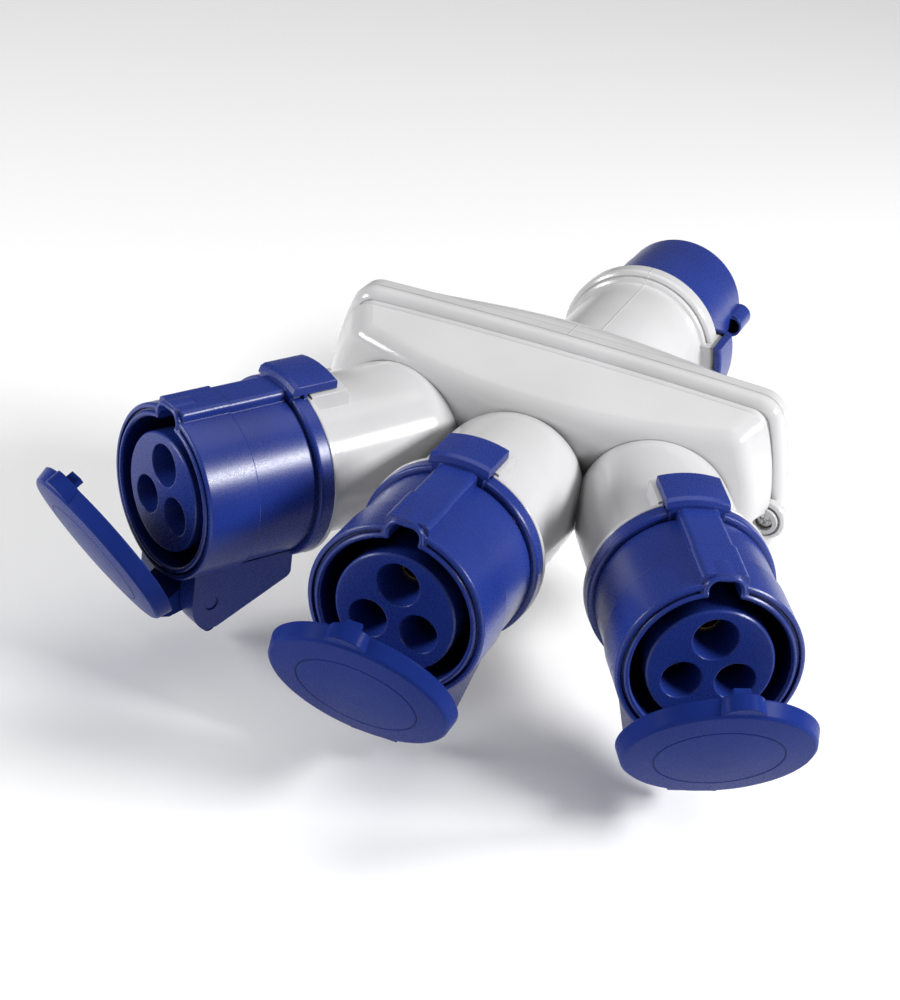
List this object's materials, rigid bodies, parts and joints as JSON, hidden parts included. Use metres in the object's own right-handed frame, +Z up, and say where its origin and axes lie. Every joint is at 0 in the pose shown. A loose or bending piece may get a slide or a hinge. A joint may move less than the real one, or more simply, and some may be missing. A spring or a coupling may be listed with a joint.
{
  "type": "three-way industrial plug adaptor",
  "caption": "Three-way adaptor for blue 16 A single-phase industrial connectors: a plug behind a grey body and lidded sockets fanned out in front of it.",
  "frame": {"origin": "centre of the plug shroud's mouth, on the plug's axis", "axes": "+Y out of the plug's mouth along its axis, +Z up on the side of the latches, +X to the right seen from the sockets"},
  "size_m": [0.2334, 0.2854, 0.0848],
  "materials": {
    "blue": "satin",
    "grey": "gloss",
    "rubber": "matte",
    "steel": "satin",
    "brass": "satin",
    "copper": "satin"
  },
  "bodies": {
    "body": {"front_shell": "grey", "rear_shell": "grey", "shell_gasket": "rubber", "shell_screws": "steel", "plug_shroud": "blue", "plug_insert": "blue", "plug_seal": "rubber", "plug_earth_pin": "brass", "plug_line_pin": "brass", "plug_neutral_pin": "brass", "earth_conductor": "copper", "line_conductor": "copper", "neutral_conductor": "copper", "left_elbow": "grey", "left_socket_housing": "blue", "left_socket_insert": "blue", "left_contact_sleeves": "brass", "left_socket_gasket": "rubber", "left_hinge_pin": "blue", "left_lid_spring": "steel", "middle_elbow": "grey", "middle_socket_housing": "blue", "middle_socket_insert": "blue", "middle_contact_sleeves": "brass", "middle_socket_gasket": "rubber", "middle_hinge_pin": "blue", "middle_lid_spring": "steel", "right_elbow": "grey", "right_socket_housing": "blue", "right_socket_insert": "blue", "right_contact_sleeves": "brass", "right_socket_gasket": "rubber", "right_hinge_pin": "blue", "right_lid_spring": "steel"},
    "left_lid": {"left_lid": "blue", "left_lid_seal": "rubber"},
    "middle_lid": {"middle_lid": "blue", "middle_lid_seal": "rubber"},
    "right_lid": {"right_lid": "blue", "right_lid_seal": "rubber"}
  },
  "joints": [
    {"name": "left_lid_hinge", "type": "hinge", "parent": "body", "child": "left_lid", "pos_m": [-0.0778, -0.21785, -0.032], "axis": [0.866, -0.5, 0], "range_deg": [-33, 62]},
    {"name": "middle_lid_hinge", "type": "hinge", "parent": "body", "child": "middle_lid", "pos_m": [0, -0.2387, -0.032], "axis": [1, 0, 0], "range_deg": [-33, 62]},
    {"name": "right_lid_hinge", "type": "hinge", "parent": "body", "child": "right_lid", "pos_m": [0.0778, -0.21785, -0.032], "axis": [0.866, 0.5, 0], "range_deg": [-33, 62]}
  ]
}
